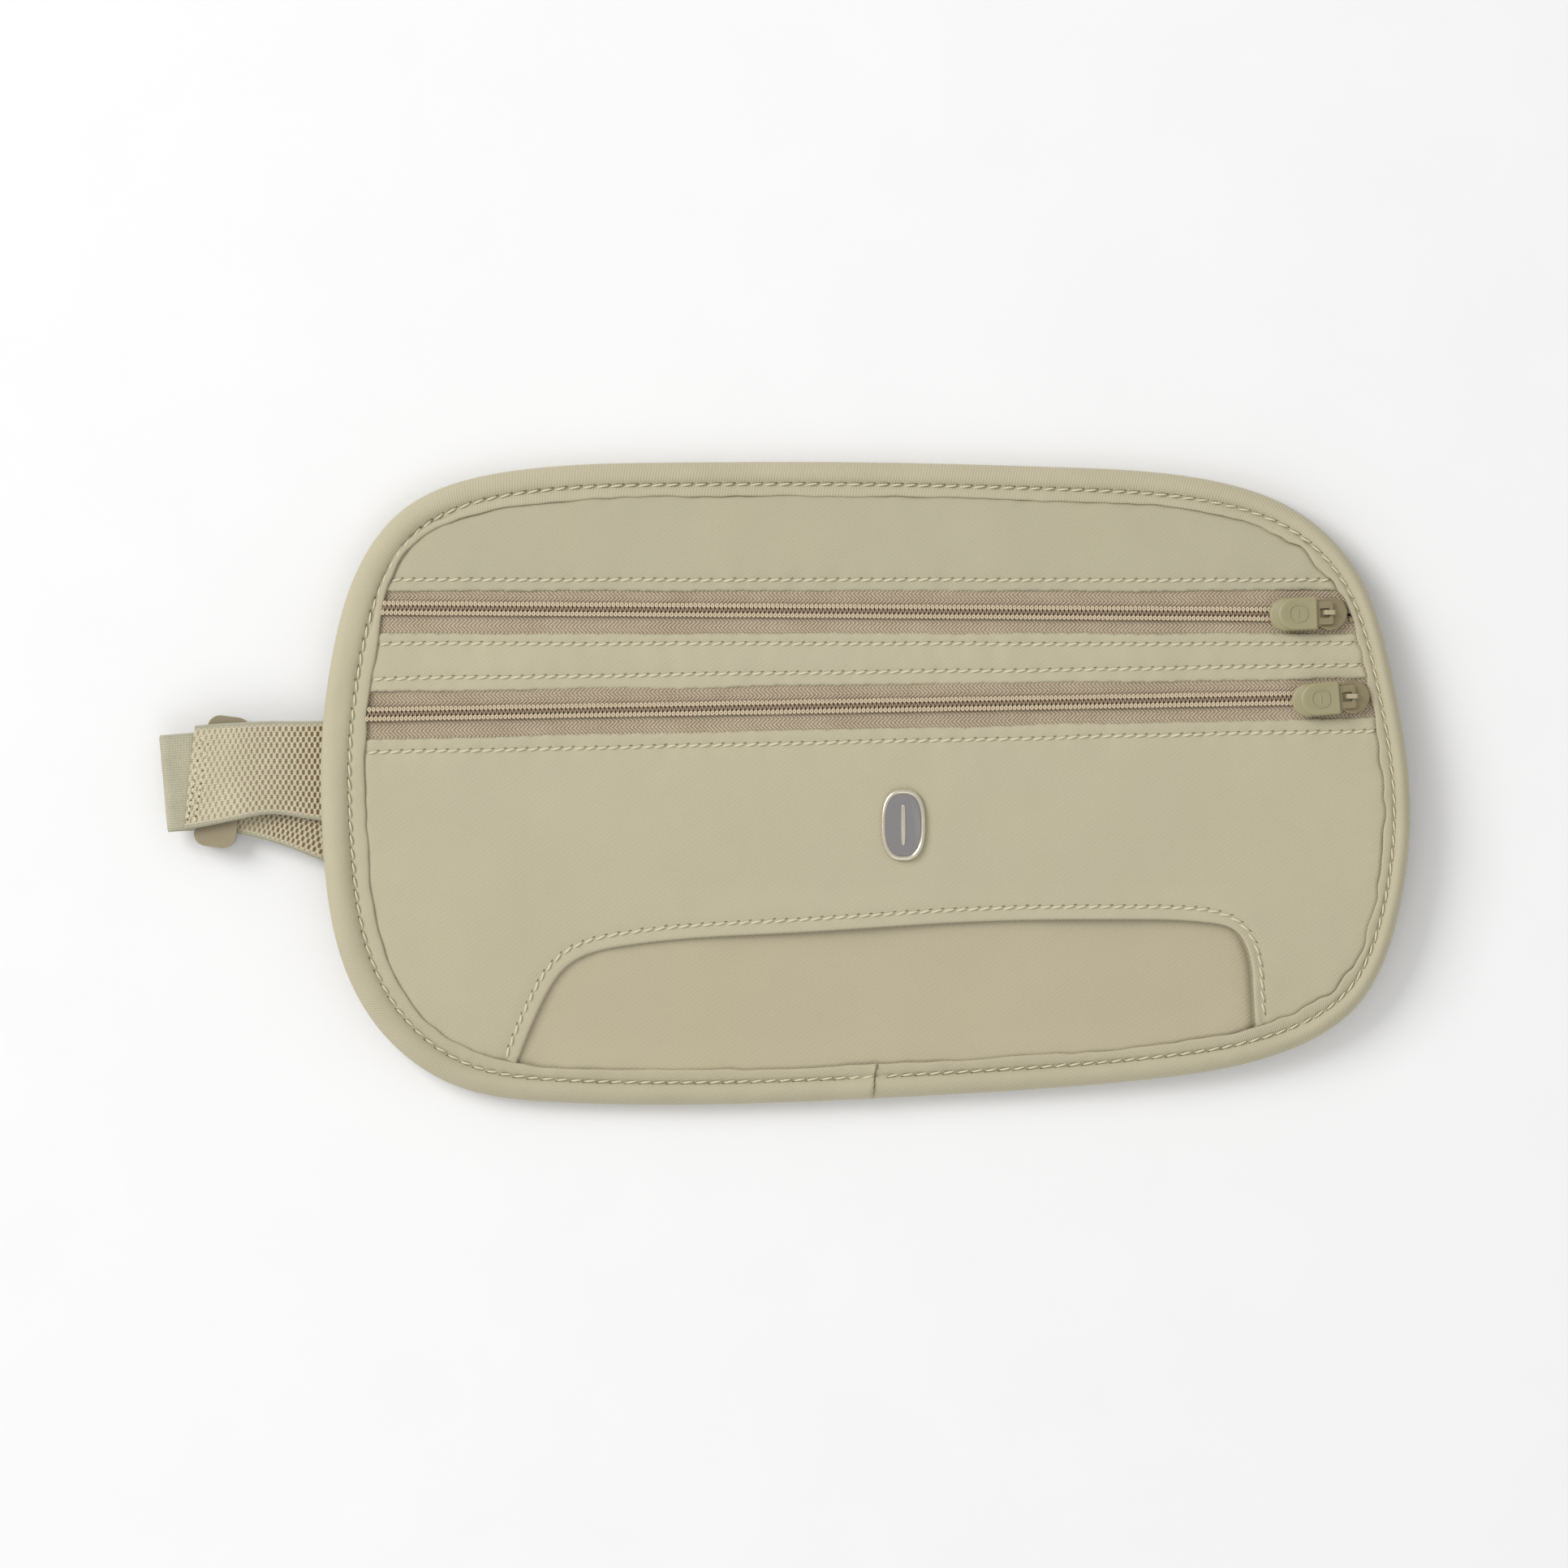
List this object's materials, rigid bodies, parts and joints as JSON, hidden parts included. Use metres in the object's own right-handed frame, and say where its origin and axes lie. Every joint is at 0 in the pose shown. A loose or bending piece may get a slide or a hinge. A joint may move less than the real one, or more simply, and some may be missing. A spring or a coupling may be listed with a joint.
{
  "type": "waist pouch wallet",
  "caption": "Flat curved fabric waist pouch wallet with two coil zips, an arched slip pocket, a plain badge, an elastic belt, a three-bar slide and a side-release buckle.",
  "frame": {"origin": "centre of the footprint, on the surface that the pouch lies on, back down", "axes": "+X along the zips towards their closed ends, +Y towards the pouch's top edge, +Z out of the front face"},
  "size_m": [0.3222, 0.1659, 0.0172],
  "materials": {
    "pouch_cloth": "matte",
    "lining_cloth": "matte",
    "spacer_mesh": "matte",
    "binding_tape": "matte",
    "zip_tape": "matte",
    "zip_coil": "satin",
    "slider_metal": "satin",
    "pull_rubber": "matte",
    "badge_metal": "satin",
    "badge_enamel": "gloss",
    "elastic": "matte",
    "buckle_plastic": "satin"
  },
  "bodies": {
    "pouch": {"back_panel": "spacer_mesh", "back_lining": "lining_cloth", "pocket_divider": "lining_cloth", "slip_pocket_panel": "pouch_cloth", "front_lower_panel": "pouch_cloth", "front_middle_strip": "pouch_cloth", "front_top_strip": "pouch_cloth", "edge_binding": "binding_tape", "zip1_tape_upper": "zip_tape", "zip1_tape_lower": "zip_tape", "zip1_coil_upper": "zip_coil", "zip1_coil_lower": "zip_coil", "zip1_top_stops": "slider_metal", "zip2_tape_upper": "zip_tape", "zip2_tape_lower": "zip_tape", "zip2_coil_upper": "zip_coil", "zip2_coil_lower": "zip_coil", "zip2_top_stops": "slider_metal", "badge_plate": "badge_metal", "badge_inlay": "badge_enamel", "strap_left": "elastic", "strap_long": "elastic", "strap_right": "elastic", "buckle_female": "buckle_plastic", "buckle_male": "buckle_plastic"},
    "zip1_slider": {"zip1_slider": "slider_metal"},
    "zip1_pull": {"zip1_pull_link": "slider_metal", "zip1_pull_grip": "pull_rubber"},
    "zip2_slider": {"zip2_slider": "slider_metal"},
    "zip2_pull": {"zip2_pull_link": "slider_metal", "zip2_pull_grip": "pull_rubber"},
    "adjuster": {"tri_glide": "buckle_plastic", "strap_end_loop": "elastic"},
    "prong_upper": {"prong_upper": "buckle_plastic"},
    "prong_lower": {"prong_lower": "buckle_plastic"}
  },
  "joints": [
    {"name": "zip1_slide", "type": "slide", "parent": "pouch", "child": "zip1_slider", "axis": [1, -0.0069, 0.0007], "range_m": [-0.2354, 0]},
    {"name": "zip1_pull_swing", "type": "hinge", "parent": "zip1_slider", "child": "zip1_pull", "pos_m": [0.14056, 0.04398, 0.01404], "axis": [-0.0279, 0.9941, -0.1046], "range_deg": [0, 165]},
    {"name": "zip2_slide", "type": "slide", "parent": "pouch", "child": "zip2_slider", "axis": [0.9998, 0.0174, -0.0008], "range_m": [-0.2459, 0]},
    {"name": "zip2_pull_swing", "type": "hinge", "parent": "zip2_slider", "child": "zip2_pull", "pos_m": [0.14624, 0.0225, 0.01571], "axis": [-0.0785, 0.9958, -0.0473], "range_deg": [0, 165]},
    {"name": "adjuster_slide", "type": "slide", "parent": "pouch", "child": "adjuster", "axis": [0.9877, -0.1564, 0], "range_m": [0, 0.008]},
    {"name": "prong_upper_press", "type": "hinge", "parent": "pouch", "child": "prong_upper", "pos_m": [0.01446, -0.0017, 0.0033], "axis": [0, 0, -1], "range_deg": [0, 8], "stiffness_Nm_per_rad": 0.5},
    {"name": "prong_lower_press", "type": "hinge", "parent": "pouch", "child": "prong_lower", "pos_m": [0.01446, -0.0211, 0.0033], "axis": [0, 0, 1], "range_deg": [0, 8], "stiffness_Nm_per_rad": 0.5}
  ]
}
